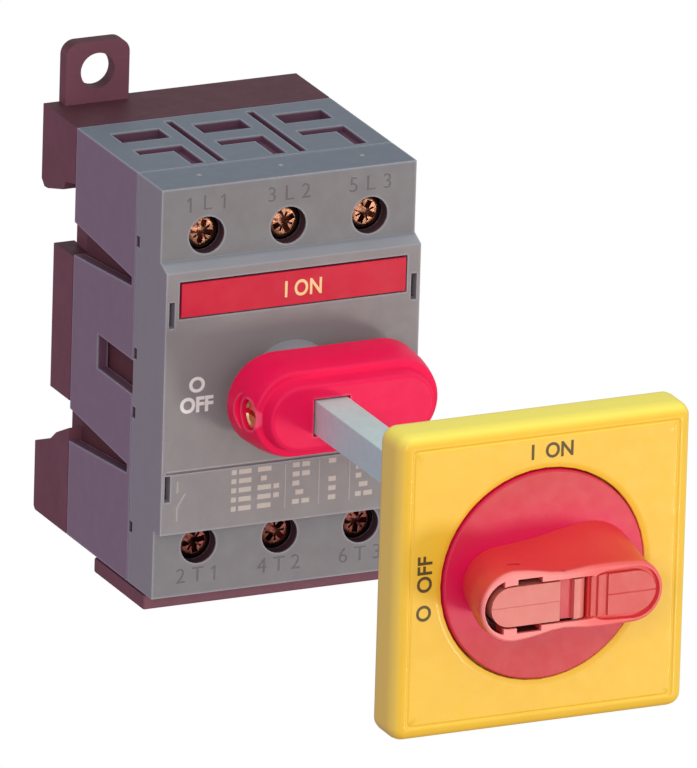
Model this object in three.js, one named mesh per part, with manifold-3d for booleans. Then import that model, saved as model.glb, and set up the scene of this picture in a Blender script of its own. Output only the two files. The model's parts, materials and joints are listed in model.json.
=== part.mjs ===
// Three-pole rotary isolator switch with a direct knob, a square extension shaft and a door handle.
// Millimetres. +X right, +Z up, the front looks along -Y.
// Origin: where the switching axis meets the plane of the rail seat. The pieces are drawn with Y = 0 at
// the wall, and add() moves every one of them so that the rail seat comes to Y = 0.
import * as THREE from 'three';
import { mergeVertices } from 'three/addons/utils/BufferGeometryUtils.js';
import { ConvexGeometry } from 'three/addons/geometries/ConvexGeometry.js';
import Module from 'manifold-3d';

const wasm = await Module();
wasm.setup();

// ---- driving dimensions ----
const gap = 0.3;                 // clearance between separate pieces
const bodyHalfWidth = 23.25;
const bodyHalfHeight = 36;
const polePitch = 14.9;
const poles = [-polePitch, 0, polePitch];
const ends = [{ name: 'top', side: 1 }, { name: 'bottom', side: -1 }];

// planes along the depth, from the wall to the door
const baseFront = -13.5;
const housingBack = baseFront - gap;
const housingFront = -38.5;
const coverBack = housingFront - gap;
const terminalPlane = -48.5;
const nosePlane = -51.2;
const knobBack = nosePlane - 4.7;
const knobFront = nosePlane - 16.5;
const plateFront = -150.4;
const plateBack = plateFront + 8;
const discFront = plateFront - 0.4;
const leverFront = discFront - 12.5;

const wall = 2;
const terminalHeight = 27.3;     // of the terminal screws above and below the axis
const screwAccessRadius = 3.25;
const noseTop = 22.2;
const noseBottom = -23.9;
const shaftSide = 6;

// rear base and 35 mm rail
const railSeat = -7.7;
const railEdge = 17.5;
const railLip = { back: -3, front: -6.3, top: railEdge + 1.8, bottom: 15.9 };
const lugCentre = 14.6;
const lugWidth = 11.6;
const lugRise = 10.8;
const lugHoleRise = 5.6;
const lugHoleRadius = 3.1;
const lugThickness = 2.6;
const latchHalfWidth = 6;
const latchEnd = -41.2;
const cheekBack = -5.6;

// switching mechanism
const quarterTurn = Math.PI / 2;
const pinionRadius = 4;
const pinionTeeth = 10;
const pressureAngle = THREE.MathUtils.degToRad(25);
const toothAddendum = 0.6;
const toothDedendum = 0.85;
const toothThickness = 1.1;      // at the pitch line, thin enough for a little backlash
const pinionBack = -31.2;
const pinionFront = -36.5;
const carriageBack = -23;
const carriageFront = -30;
const carriageHalfHeight = 5;
const bladeOffset = -3.2;        // from a pole's centre, contacts open
const bladeThickness = 1.2;
const bladeHalfHeight = 11;
const fixedTipOffset = 3.8;

// door handle
const plateHalf = 26.4;
const discRadius = 18;
const neckRadius = 11;
const neckBore = 8.2;
const neckBack = plateFront + 20.5;
const nutFront = plateFront + 12.4;
const nutBack = nutFront + 4.5;
const gasketHalf = 24.4;
const gasketThickness = 1.5;
const spigotBack = plateFront + 5;
const socketFront = spigotBack + gap;
const socketBack = neckBack + 6;
const ringFront = neckBack + 0.8;
const ringBack = neckBack + 1.9;
const lever = { left: -17, right: 15.6, leftRadius: 6.1, rightRadius: 5.3, footLeft: -14.6 };
const leverHeadDepth = 4;

// ---- materials ----
const material = (color, roughness, metalness = 0) =>
  new THREE.MeshStandardMaterial({ color, roughness, metalness });
const greyPlastic = () => material(0x85807e, 0.5);
const darkPlastic = () => material(0x5a3f47, 0.6);
const redPlastic = () => material(0xe03a4e, 0.4);
const yellowPlastic = () => material(0xf8cb50, 0.4);
const blackPlastic = () => material(0x26262a, 0.6);
const rubberBlack = () => material(0x1b1b1d, 0.9);
const brass = () => material(0xb88b4a, 0.35, 1);
const copper = () => material(0xb87046, 0.35, 1);
const steel = () => material(0xb4b6b8, 0.35, 1);

// ---- solids ----
function solid(geometry) {
  const bare = geometry.clone();
  bare.deleteAttribute('normal');
  bare.deleteAttribute('uv');
  const merged = mergeVertices(bare, 1e-4);
  return new wasm.Manifold(new wasm.Mesh({
    numProp: 3,
    vertProperties: new Float32Array(merged.attributes.position.array),
    triVerts: new Uint32Array(merged.index.array),
  }));
}

function geometryOf(manifold) {
  const mesh = manifold.getMesh();
  const geometry = new THREE.BufferGeometry();
  geometry.setAttribute('position', new THREE.BufferAttribute(mesh.vertProperties, 3));
  geometry.setIndex(new THREE.BufferAttribute(mesh.triVerts, 1));
  geometry.computeVertexNormals();
  return geometry;
}

const join = (...pieces) => pieces.reduce((whole, piece) => whole.add(piece));
const cut = (whole, ...tools) => tools.reduce((rest, tool) => rest.subtract(tool), whole);

function box(x0, x1, y0, y1, z0, z1) {
  const geometry = new THREE.BoxGeometry(Math.abs(x1 - x0), Math.abs(y1 - y0), Math.abs(z1 - z0));
  geometry.translate((x0 + x1) / 2, (y0 + y1) / 2, (z0 + z1) / 2);
  return solid(geometry);
}

function rod(axis, radius, from, to, across = [0, 0], segments = 28) {
  const geometry = new THREE.CylinderGeometry(radius, radius, Math.abs(to - from), segments);
  const middle = (from + to) / 2;
  if (axis === 'x') geometry.rotateZ(quarterTurn).translate(middle, across[0], across[1]);
  if (axis === 'y') geometry.translate(across[0], middle, across[1]);
  if (axis === 'z') geometry.rotateX(quarterTurn).translate(across[0], across[1], middle);
  return solid(geometry);
}

function extrude(shape, depth, options = {}) {
  return new THREE.ExtrudeGeometry(shape, {
    depth, bevelEnabled: false, curveSegments: 7, ...options,
  });
}

// An outline in X and Z, running from the plane y0 (front) to the plane y1 (back).
function alongY(shape, y0, y1) {
  return solid(extrude(shape, y1 - y0).rotateX(quarterTurn).translate(0, y1, 0));
}

// An outline in Y and Z, running from x0 to x1.
function alongX(shape, x0, x1) {
  const turn = new THREE.Matrix4().makeBasis(
    new THREE.Vector3(0, 1, 0), new THREE.Vector3(0, 0, 1), new THREE.Vector3(1, 0, 0));
  return solid(extrude(shape, x1 - x0).applyMatrix4(turn).translate(x0, 0, 0));
}

// ---- outlines ----
const outline = (points) => new THREE.Shape(points.map(([x, y]) => new THREE.Vector2(x, y)));

function roundedRectangle(x0, x1, y0, y1, radius) {
  const shape = new THREE.Shape();
  shape.absarc(x1 - radius, y0 + radius, radius, -quarterTurn, 0);
  shape.absarc(x1 - radius, y1 - radius, radius, 0, quarterTurn);
  shape.absarc(x0 + radius, y1 - radius, radius, quarterTurn, 2 * quarterTurn);
  shape.absarc(x0 + radius, y0 + radius, radius, 2 * quarterTurn, 3 * quarterTurn);
  shape.closePath();
  return shape;
}

// A bar with round ends of two radii, from x0 to x1.
function roundEnded(x0, x1, radius0, radius1) {
  const shape = new THREE.Shape();
  shape.absarc(x1 - radius1, 0, radius1, -quarterTurn, quarterTurn);
  shape.absarc(x0 + radius0, 0, radius0, quarterTurn, 3 * quarterTurn);
  shape.closePath();
  return shape;
}

// ---- the scene graph ----
const isolator = new THREE.Group();

function add(name, shape, surface) {
  const geometry = shape instanceof wasm.Manifold ? geometryOf(shape) : shape;
  geometry.translate(0, -railSeat, 0);
  const mesh = new THREE.Mesh(geometry, surface);
  mesh.name = name;
  isolator.add(mesh);
}

// ---- rear base: rail seat, hooks and two fixing lugs ----
function lug(side) {
  const centre = -side * lugCentre;
  const tip = bodyHalfHeight + lugRise;
  const root = bodyHalfHeight - 4;
  const ear = roundedRectangle(centre - lugWidth / 2, centre + lugWidth / 2,
    Math.min(side * root, side * tip), Math.max(side * root, side * tip), 2.4);
  return cut(alongY(ear, -lugThickness, 0),
    rod('y', lugHoleRadius, -lugThickness - 1, 1, [centre, side * (bodyHalfHeight + lugHoleRise)]));
}

function rearBase() {
  // outlines in Y and Z of the blocks that show on both sides
  const upperBlock = outline([[baseFront, 26], [baseFront, bodyHalfHeight], [0, bodyHalfHeight],
    [0, 22.8], [-1.2, 21.7], [-2.6, 21.8], [-8.9, 23.6], [-9.8, 25.2]]);
  const cheek = outline([[baseFront, -12.3], [baseFront, 13.3], [cheekBack, 13.1], [cheekBack, -12.3]]);
  const lowerBlock = outline([[baseFront, -17.2], [-8.5, -19.6], [-6, -21.6], [0, -23.8],
    [0, -bodyHalfHeight + 0.6], [-0.6, -bodyHalfHeight], [baseFront, -bodyHalfHeight]]);
  const slab = { half: 20, bottom: -25, top: 28 };
  const cheekInside = slab.half - 0.5;
  const hookHalf = 15;
  let base = join(
    alongX(upperBlock, -bodyHalfWidth, bodyHalfWidth),
    alongX(cheek, -bodyHalfWidth, -cheekInside),
    alongX(cheek, cheekInside, bodyHalfWidth),
    alongX(lowerBlock, -bodyHalfWidth, bodyHalfWidth),
    box(-slab.half, slab.half, baseFront, railSeat, slab.bottom, slab.top),
    box(-hookHalf, hookHalf, railLip.front, railLip.back, railLip.bottom, 24),
    box(-hookHalf, hookHalf, railLip.front, railLip.back, railLip.top + 1.2, slab.top),
    lug(1), lug(-1));
  // shallow grooves across the seat, along the inner edges of the rail
  const grooveDepth = 0.5;
  for (const [z0, z1] of [[12.6, 13.4], [-13.4, -12.6]]) {
    base = cut(base, box(-cheekInside, cheekInside, railSeat - grooveDepth, railSeat + 1, z0, z1));
  }
  // hollows that open to the rear, clear of the lugs
  const hollowFloor = -11;
  const hollowOuter = 33.4;
  for (const side of [1, -1]) {
    const hollowInner = side > 0 ? 28.2 : 28.6;
    for (const [x0, x1] of [[-5.8, 1.6], [3.4, 11], [12.8, 20.6]]) {
      base = cut(base,
        box(side * x0, side * x1, hollowFloor, 1, side * hollowInner, side * hollowOuter));
    }
  }
  // guide for the rail latch
  const guide = latchHalfWidth + gap;
  const guideTop = -14;
  return cut(base,
    box(-guide, guide, railLip.front - gap, railLip.back + gap, -bodyHalfHeight - 1, guideTop));
}

function railLatch() {
  const side = outline([[railLip.front, latchEnd], [railLip.front, -railLip.bottom],
    [railLip.front + 0.8, -railLip.bottom], [railLip.back, -21], [railLip.back, latchEnd]]);
  const slot = { half: 2.5, bottom: latchEnd + 1.3, top: latchEnd + 2.9 };
  return cut(alongX(side, -latchHalfWidth, latchHalfWidth),
    box(-slot.half, slot.half, railLip.front - 1, railLip.back + 1, slot.bottom, slot.top));
}

// ---- contact block: dark tray with the chambers for three poles ----
const blockHalfWidth = 20.9;
const blockHalfHeight = 21.5;

function contactBlock() {
  const blockFront = housingFront + gap;
  const chamberFloor = -15.8;
  const halfPartition = 0.6;
  const through = { front: -40, half: 30 };
  const inner = blockHalfWidth - 0.9;
  let block = box(-blockHalfWidth, blockHalfWidth, blockFront, housingBack, -blockHalfHeight, blockHalfHeight);
  const walls = [-inner, -polePitch / 2 - halfPartition, -polePitch / 2 + halfPartition,
    polePitch / 2 - halfPartition, polePitch / 2 + halfPartition, inner];
  for (let i = 0; i < walls.length; i += 2) {
    block = cut(block,
      box(walls[i], walls[i + 1], through.front, chamberFloor, -through.half, through.half));
  }
  // room for the carriage across all three chambers
  const slide = carriageHalfHeight + 0.4;
  return cut(block,
    box(-inner, inner, through.front, carriageFront - 0.6, -through.half, through.half),
    box(-inner, inner, through.front, carriageBack + 0.4, -slide, slide));
}

// ---- housing ----
const wireEntry = { front: -23.6, back: -18.6, halfWidth: 4.35 };
const surfaceDepth = 1.2;        // of the slots and marks in the top and bottom faces

function housing() {
  const inner = bodyHalfWidth - wall;
  const top = bodyHalfHeight - wall;
  let shell = cut(
    box(-bodyHalfWidth, bodyHalfWidth, housingFront, housingBack, -bodyHalfHeight, bodyHalfHeight),
    box(-inner, inner, housingFront - 1, housingBack + 1, -top, top));
  const partition = { half: 0.7, back: -16.5, inner: 22.5 };
  const slit = { half: 0.65, front: -37.6, back: -15.6 };
  for (const side of [1, -1]) {
    const outside = side * (bodyHalfHeight + 1);
    const shallow = side * (bodyHalfHeight - surfaceDepth);
    for (const x of [-polePitch / 2, polePitch / 2]) {
      shell = join(shell, box(x - partition.half, x + partition.half, housingFront, partition.back,
        side * partition.inner, side * (top + 0.5)));
      shell = cut(shell, box(x - slit.half, x + slit.half, slit.front, slit.back, shallow, outside));
    }
    for (const x of poles) {
      shell = cut(shell,
        box(x - wireEntry.halfWidth, x + wireEntry.halfWidth, wireEntry.front, wireEntry.back,
          side * (top - 1), outside),
        box(x - 4.2, x + 4.4, -30.2, -27.6, shallow, outside),
        box(x + 2, x + 4.4, -37.4, -29, shallow, outside));
    }
  }
  // side windows, which show the contact block behind the wall: one square, two wedges
  const window = { front: housingFront - 1, back: -24.2, half: 3 };
  const wedge = { centre: 16.5, front: housingFront + 1.2, frontHalf: 0.8, backHalf: 3 };
  for (const x of [-bodyHalfWidth, bodyHalfWidth]) {
    shell = cut(shell, box(x - wall - 1, x + wall + 1, window.front, window.back, -window.half, window.half));
    for (const side of [1, -1]) {
      const centre = side * wedge.centre;
      const groove = outline([[housingBack + 1, centre - wedge.backHalf],
        [housingBack + 1, centre + wedge.backHalf], [wedge.front, centre + wedge.frontHalf],
        [wedge.front, centre - wedge.frontHalf]]);
      shell = cut(shell, alongX(groove, x - wall - 1, x + wall + 1));
    }
  }
  return shell;
}

// ---- front cover: terminal shelf, raised nose and the collar of the knob ----
const collarRadius = 8;
const collarBore = 6.8;
const label = { half: 20.5, bottom: 14.3, top: 20.2, depth: 0.6 };

function frontCover() {
  const inner = bodyHalfWidth - wall;
  const plateInside = terminalPlane + 2.5;
  const noseFoot = noseTop + 1.2;
  const nose = outline([[terminalPlane + 1, noseFoot], [terminalPlane, noseFoot],
    [nosePlane, noseTop], [nosePlane, noseBottom], [terminalPlane + 1, noseBottom]]);
  let cover = join(
    cut(box(-bodyHalfWidth, bodyHalfWidth, terminalPlane, coverBack, -bodyHalfHeight, bodyHalfHeight),
      box(-inner, inner, plateInside, coverBack + 1, -bodyHalfHeight + wall, bodyHalfHeight - wall)),
    alongX(nose, -bodyHalfWidth, bodyHalfWidth),
    rod('y', collarRadius, knobBack + gap, terminalPlane + 1, [0, 0], 40));
  cover = cut(cover, rod('y', collarBore, knobBack - 1, coverBack + 1, [0, 0], 40));
  for (const x of poles) {
    for (const side of [1, -1]) {
      cover = cut(cover, rod('y', screwAccessRadius, nosePlane - 1, plateInside + 1, [x, side * terminalHeight]));
    }
  }
  const line = { half: bodyHalfWidth - 0.8, bottom: -13.3, top: -12.9, depth: 0.3 };
  cover = cut(cover,
    box(-label.half - gap, label.half + gap, nosePlane - 1, nosePlane + label.depth,
      label.bottom - gap, label.top + gap),
    box(-line.half, line.half, nosePlane - 1, nosePlane + line.depth, line.bottom, line.top));
  // slots near the side edges of the nose
  const slot = { x: 22.1, halfWidth: 0.5, halfHeight: 2.3, depth: 1.6 };
  for (const x of [-slot.x, slot.x]) {
    for (const z of [14.8, -15.8]) {
      cover = cut(cover, box(x - slot.halfWidth, x + slot.halfWidth, nosePlane - 1,
        nosePlane + slot.depth, z - slot.halfHeight, z + slot.halfHeight));
    }
  }
  // snap notches along the seam
  for (const x of [-bodyHalfWidth, bodyHalfWidth]) {
    for (const z of [24.2, 4.5, -5.9, -26.1]) {
      cover = cut(cover, box(x - 0.8, x + 0.8, coverBack - 1.3, coverBack + 1, z - 1, z + 1));
    }
  }
  return cover;
}

// ---- terminals and fixed contacts ----
const tongue = { front: -24, back: -23, halfWidth: 3.6 };

function fixedContact(x, side) {
  const tip = { x0: x + fixedTipOffset, x1: x + fixedTipOffset + 1 };
  return join(
    box(x - tongue.halfWidth, x + tongue.halfWidth, tongue.front, tongue.back, side * 19, side * 31),
    box(x - tongue.halfWidth, tip.x1, tongue.front, tongue.back, side * 14, side * 20),
    box(tip.x0, tip.x1, -27.4, -21.3, side * 7.6, side * 17));
}

function clampCage(x, side) {
  const z0 = side * (terminalHeight - 4);
  const z1 = side * (terminalHeight + 4);
  return cut(box(x - 4.9, x + 4.9, -27.2, -16.4, z0, z1),
    box(x - 4, x + 4, -25.4, -17.8, z0 - side, z1 + side),
    rod('y', 2.05, -28, -25, [x, side * terminalHeight], 20));
}

function terminalScrew(x, side) {
  const z = side * terminalHeight;
  const headFront = terminalPlane + 2.1;
  const slot = 0.45;
  const reach = 1.9;
  return cut(
    join(rod('y', 1.75, -44.3, tongue.front - gap, [x, z], 16),
      rod('y', 2.9, headFront, headFront + 2.4, [x, z], 20)),
    box(x - slot, x + slot, headFront - 1, headFront + 1.2, z - reach, z + reach),
    box(x - reach, x + reach, headFront - 1, headFront + 1.2, z - slot, z + slot));
}

// ---- mechanism ----
const involute = (angle) => Math.tan(angle) - angle;

// A ten-tooth pinion, its first tooth pointing up.
function pinionOutline() {
  const baseRadius = pinionRadius * Math.cos(pressureAngle);
  const tip = pinionRadius + toothAddendum;
  const root = pinionRadius - toothDedendum;
  const halfAngle = (radius) => toothThickness / 2 / pinionRadius + involute(pressureAngle)
    - involute(Math.acos(Math.min(1, baseRadius / radius)));
  const flank = [root, baseRadius, pinionRadius, tip];
  const points = [];
  for (let tooth = 0; tooth < pinionTeeth; tooth += 1) {
    const middle = quarterTurn + (tooth * 4 * quarterTurn) / pinionTeeth;
    const put = (radius, side) => {
      const angle = middle + side * halfAngle(radius);
      points.push([radius * Math.cos(angle), radius * Math.sin(angle)]);
    };
    flank.forEach((radius) => put(radius, -1));
    [...flank].reverse().forEach((radius) => put(radius, 1));
  }
  return outline(points);
}

// Rack teeth that point down to the pinion, a gap standing over the axis.
function rackOutline() {
  const pitch = (2 * Math.PI * pinionRadius) / pinionTeeth;
  const lean = Math.tan(pressureAngle);
  const tipZ = pinionRadius - toothAddendum;
  const rootZ = pinionRadius + toothDedendum;
  const points = [[5, 8.5], [-11.5, 8.5], [-11.5, rootZ]];
  for (let tooth = -4; tooth <= 1; tooth += 1) {
    const x = (tooth + 0.5) * pitch;
    const atRoot = toothThickness / 2 + toothDedendum * lean;
    const atTip = toothThickness / 2 - toothAddendum * lean;
    points.push([x - atRoot, rootZ], [x - atTip, tipZ], [x + atTip, tipZ], [x + atRoot, rootZ]);
  }
  points.push([5, rootZ]);
  return outline(points);
}

function rotor() {
  const flangeFront = terminalPlane + 2.5 + gap;
  const flangeBack = flangeFront + 2.5;
  const spin = (profile) => {
    const lathe = new THREE.LatheGeometry(profile.map(([r, y]) => new THREE.Vector2(r, y)), 36);
    return solid(lathe);
  };
  let body = spin([[0, knobBack + 0.6], [collarBore - gap, knobBack + 0.6], [collarBore - gap, flangeFront],
    [9.5, flangeFront], [9.5, flangeBack], [5.4, flangeBack], [5.4, pinionFront], [0, pinionFront]]);
  body = join(body, alongY(pinionOutline(), pinionFront - 0.2, pinionBack));
  // detent notches for the two rest positions
  for (const [x, z] of [[0, -9.8], [9.8, 0]]) {
    body = cut(body, rod('y', 1.6, flangeFront - 0.2, flangeBack + 0.2, [x, z], 16));
  }
  const half = shaftSide / 2 + gap;
  return cut(body, box(-half, half, knobBack - 1, -38.2, -half, half));
}

function detentSpring() {
  const t = 0.4;
  const path = [[-9, -13], [-2.6, -11.6], [-0.9, -9.3], [0.9, -9.3], [2.6, -11.6], [9, -13]];
  const back = [...path].reverse().map(([x, z]) => [x, z - t]);
  return alongY(outline([...path, ...back]), terminalPlane + 3.2, terminalPlane + 4.8);
}

const carriageStart = -19.9;
const carriageEnd = 13.6;

function contactCarriage() {
  let carriage = join(
    box(carriageStart, carriageEnd, carriageFront, carriageBack, -carriageHalfHeight, carriageHalfHeight),
    box(-11.5, 5, carriageFront - 1, carriageFront + 0.5, 3.4, carriageHalfHeight),
    alongY(rackOutline(), pinionFront + 0.4, carriageFront - 0.7));
  const slot = bladeThickness / 2 + gap;
  for (const pole of poles) {
    const x = pole + bladeOffset;
    carriage = cut(carriage, box(x - slot, x + slot, carriageBack - 5, carriageBack + 1, -6, 6));
  }
  return carriage;
}

function movingContact(pole) {
  const x = pole + bladeOffset;
  return box(x - bladeThickness / 2, x + bladeThickness / 2, carriageBack - 4.7, -21,
    -bladeHalfHeight, bladeHalfHeight);
}

// ---- direct knob and shaft ----
const knobScrewDepth = nosePlane - 11.1;
const knob = { left: -14, right: 21.8, radius: 8.35, taper: 1.4 };
const knobNut = { x0: -9.6, x1: -7.2, half: 3.4 };

function directKnob() {
  // the outline draws in evenly towards the front
  const { taper } = knob;
  const straight = 2.5;
  const endRadius = knob.radius - taper;
  const shape = roundEnded(knob.left + taper, knob.right - taper, endRadius, endRadius);
  const depth = knobBack - knobFront;
  const lofted = solid(extrude(shape, 2 * straight, {
    bevelEnabled: true, bevelThickness: depth - straight, bevelSize: taper, bevelSegments: 3,
    curveSegments: 12,
  }).rotateX(quarterTurn).translate(0, knobBack + straight, 0));
  const half = shaftSide / 2 + gap;
  return cut(lofted,
    box(-40, 40, knobBack, 40, -20, 20),
    box(-half, half, knobFront - 1, knobBack + 1, -half, half),
    rod('x', 2.9, -20, knobNut.x0, [knobScrewDepth, 0], 24),
    rod('x', 2.75, -12, 0, [knobScrewDepth, 0], 20),
    box(knobNut.x0 - gap, knobNut.x1 + gap, knobScrewDepth - knobNut.half - gap, knobBack + 1,
      -knobNut.half - gap, knobNut.half + gap));
}

function knobScrew() {
  return cut(rod('x', 2.4, -12.2, -shaftSide / 2 - gap, [knobScrewDepth, 0], 18),
    box(-13, -11.2, knobScrewDepth - 3, knobScrewDepth + 3, -0.4, 0.4));
}

function knobClampNut() {
  return cut(box(knobNut.x0, knobNut.x1, knobScrewDepth - knobNut.half, knobScrewDepth + knobNut.half,
    -knobNut.half, knobNut.half),
  rod('x', 2.7, -12, 0, [knobScrewDepth, 0], 18));
}

const shaftBack = -38.6;
const shaftFront = plateFront + 7.5;

function extensionShaft() {
  const half = shaftSide / 2;
  return box(-half, half, shaftFront, shaftBack, -half, half);
}

// ---- door plate with its threaded neck ----
const recessFloor = plateFront + 3.1;

function doorPlate() {
  const bevel = 2.2;
  const shape = roundedRectangle(-plateHalf + bevel, plateHalf - bevel, -plateHalf + bevel,
    plateHalf - bevel, 1.6);
  const slab = solid(extrude(shape, 2, {
    bevelEnabled: true, bevelThickness: bevel, bevelSize: bevel, bevelSegments: 3, curveSegments: 4,
  }).rotateX(quarterTurn).translate(0, plateFront + bevel + 2, 0));
  const lower = roundedRectangle(-plateHalf, plateHalf, -plateHalf, plateHalf, 1.6 + bevel);
  const sealGroove = cut(
    rod('y', 13, recessFloor - 1, recessFloor + 1.6, [0, 0], 36),
    rod('y', 11, recessFloor - 2, recessFloor + 2, [0, 0], 36));
  const plate = cut(
    join(slab, alongY(lower, plateFront + bevel, plateBack),
      rod('y', neckRadius, plateBack - 1, neckBack, [0, 0], 40)),
    rod('y', discRadius + gap, plateFront - 1, recessFloor, [0, 0], 48),
    rod('y', neckBore, plateFront, neckBack + 1, [0, 0], 36),
    sealGroove);
  // pockets in the corners of the back
  const pocket = { inner: 16, outer: 23.6, depth: 3 };
  return [[1, 1], [1, -1], [-1, 1], [-1, -1]].reduce((rest, [sx, sz]) => cut(rest,
    box(sx * pocket.inner, sx * pocket.outer, plateBack - pocket.depth, plateBack + 1,
      sz * pocket.inner, sz * pocket.outer)), plate);
}

function doorGasket() {
  const back = plateBack + gap + gasketThickness;
  const shape = roundedRectangle(-gasketHalf, gasketHalf, -gasketHalf, gasketHalf, 3);
  return cut(alongY(shape, plateBack + gap, back),
    rod('y', neckRadius + gap, plateBack, back + 1, [0, 0], 40));
}

function neckNut() {
  const radius = 15.5;
  const gripCentre = radius + 0.4;
  let nut = cut(rod('y', radius, nutFront, nutBack, [0, 0], 36),
    rod('y', neckRadius + gap, nutFront - 1, nutBack + 1, [0, 0], 36));
  for (let grip = 0; grip < 8; grip += 1) {
    const angle = (grip * quarterTurn) / 2;
    nut = cut(nut, rod('y', 1.4, nutFront - 1, nutBack + 1,
      [gripCentre * Math.cos(angle), gripCentre * Math.sin(angle)], 12));
  }
  return nut;
}

// ---- handle: disc, lever, shaft socket and padlock tongue ----
const tonguePocket = { x0: -14.6, x1: 2.3, half: 3.7, floor: leverFront + 5.6 };
const tonguePivot = { x: 0.4, y: leverFront + 1.7, radius: 1.6, bore: 1.15 };
const socketScrewHead = discFront - 2.3;
const socketScrewHole = 1.9;

function handle() {
  const head = alongY(roundEnded(lever.left, lever.right, lever.leftRadius, lever.rightRadius),
    leverFront, leverFront + leverHeadDepth);
  // a skirt that spreads from the lever's face towards the right side of the disc
  const skirt = [];
  const addOutline = (x0, x1, radius0, radius1, y) => {
    for (const [centre, radius, start] of [[x1 - radius1, radius1, -quarterTurn],
      [x0 + radius0, radius0, quarterTurn]]) {
      for (let step = 0; step <= 6; step += 1) {
        const angle = start + (step * quarterTurn) / 3;
        skirt.push(new THREE.Vector3(centre + radius * Math.cos(angle), y, radius * Math.sin(angle)));
      }
    }
  };
  addOutline(lever.footLeft, lever.right + 0.6, lever.leftRadius, 8.4, discFront + 0.4);
  addOutline(lever.left + 0.1, lever.right - 0.1, lever.leftRadius - 0.1, lever.rightRadius,
    leverFront + leverHeadDepth - 0.5);
  const disc = rod('y', discRadius, discFront, recessFloor - gap, [0, 0], 56);
  const spigot = rod('y', 5, recessFloor - 1, spigotBack, [0, 0], 28);
  return cut(join(disc, head, solid(new ConvexGeometry(skirt)), spigot),
    box(tonguePocket.x0, tonguePocket.x1, leverFront - 1, tonguePocket.floor,
      -tonguePocket.half, tonguePocket.half),
    rod('z', tonguePivot.bore, -4.7, 4.7, [tonguePivot.x, tonguePivot.y], 16),
    rod('y', socketScrewHole, socketScrewHead - 0.4, spigotBack + 1, [0, 0], 18));
}

function padlockTongue() {
  const half = tonguePocket.half - gap;
  const back = leverFront + 4;
  const shape = new THREE.Shape();
  shape.absarc(tonguePocket.x0 + gap + half, 0, half, quarterTurn, 3 * quarterTurn);
  shape.lineTo(tonguePivot.x, -half);
  shape.lineTo(tonguePivot.x, half);
  shape.closePath();
  const padlockHole = { x: -9, y: leverFront + 2.1, radius: 1.25 };
  return cut(
    join(alongY(shape, leverFront + 0.1, back),
      rod('z', tonguePivot.radius, -half, half, [tonguePivot.x, tonguePivot.y], 24),
      box(tonguePivot.x - 0.1, tonguePivot.x + tonguePivot.radius, tonguePivot.y, back, -half, half)),
    rod('z', tonguePivot.bore, -5, 5, [tonguePivot.x, tonguePivot.y], 16),
    rod('z', padlockHole.radius, -5, 5, [padlockHole.x, padlockHole.y], 14));
}

function shaftSocket() {
  const half = shaftSide / 2 + gap;
  const radius = neckBore - gap;
  const boreFront = shaftFront - 0.7;
  const ringSeat = cut(rod('y', radius + 1, ringFront - 0.2, ringBack + 0.2, [0, 0], 30),
    rod('y', ringGrooveRadius, ringFront - 1, ringBack + 1, [0, 0], 30));
  return cut(rod('y', radius, socketFront, socketBack, [0, 0], 36),
    box(-half, half, boreFront, socketBack + 1, -half, half),
    rod('y', socketScrewHole, socketFront - 1, boreFront + 0.5, [0, 0], 18),
    ringSeat);
}

function socketScrew() {
  return rod('y', 1.5, socketScrewHead, socketFront + 0.8, [0, 0], 16);
}

const ringGrooveRadius = 7;

function retainingRing() {
  return cut(rod('y', 10, ringFront, ringBack, [0, 0], 30),
    rod('y', ringGrooveRadius + 0.2, ringFront - 1, ringBack + 1, [0, 0], 30),
    box(-2, 2, ringFront - 1, ringBack + 1, 0, 12));
}

function handleSeal() {
  return new THREE.TorusGeometry(12, 0.65, 8, 36).rotateX(quarterTurn).translate(0, recessFloor + 0.7, 0);
}

// ---- build ----
add('rear_base', rearBase(), darkPlastic());
add('rail_latch', railLatch(), darkPlastic());
add('contact_block', contactBlock(), darkPlastic());
add('housing', housing(), greyPlastic());
add('front_cover', frontCover(), greyPlastic());
add('bottom_strip', box(-bodyHalfWidth, bodyHalfWidth, -45.2, -25, -bodyHalfHeight - 3, -bodyHalfHeight - gap),
  darkPlastic());
add('front_label', box(-label.half, label.half, nosePlane - 0.2, nosePlane + gap, label.bottom, label.top),
  redPlastic());
for (const { name, side } of ends) {
  poles.forEach((x, index) => {
    const place = `${name}_${index + 1}`;
    add(`fixed_contact_${place}`, fixedContact(x, side), copper());
    add(`clamp_cage_${place}`, clampCage(x, side), steel());
    add(`terminal_screw_${place}`, terminalScrew(x, side), brass());
  });
}
add('contact_carriage', contactCarriage(), blackPlastic());
poles.forEach((x, index) => add(`moving_contact_${index + 1}`, movingContact(x), copper()));
add('rotor', rotor(), blackPlastic());
add('detent_spring', detentSpring(), steel());
add('direct_knob', directKnob(), redPlastic());
add('knob_clamp_screw', knobScrew(), brass());
add('knob_clamp_nut', knobClampNut(), brass());
add('extension_shaft', extensionShaft(), steel());
add('door_plate', doorPlate(), yellowPlastic());
add('door_gasket', doorGasket(), rubberBlack());
add('neck_nut', neckNut(), blackPlastic());
add('handle', handle(), redPlastic());
add('shaft_socket', shaftSocket(), blackPlastic());
add('socket_screw', socketScrew(), steel());
add('retaining_ring', retainingRing(), steel());
add('handle_seal', handleSeal(), rubberBlack());
add('padlock_tongue', padlockTongue(), redPlastic());
add('tongue_pin', rod('z', 0.85, -4.4, 4.4, [tonguePivot.x, tonguePivot.y], 14), steel());

export default isolator;
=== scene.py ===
"""Looks of a three-pole rotary isolator switch with a direct knob, a square shaft and a door handle.

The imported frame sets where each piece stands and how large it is; the values named here are details
within that. Blender works in metres; MM turns millimetres into metres.
+X is right, +Z is up and the front looks along -Y.
"""
import json
import math

import bmesh
import bpy
from mathutils import Matrix, Vector


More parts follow.
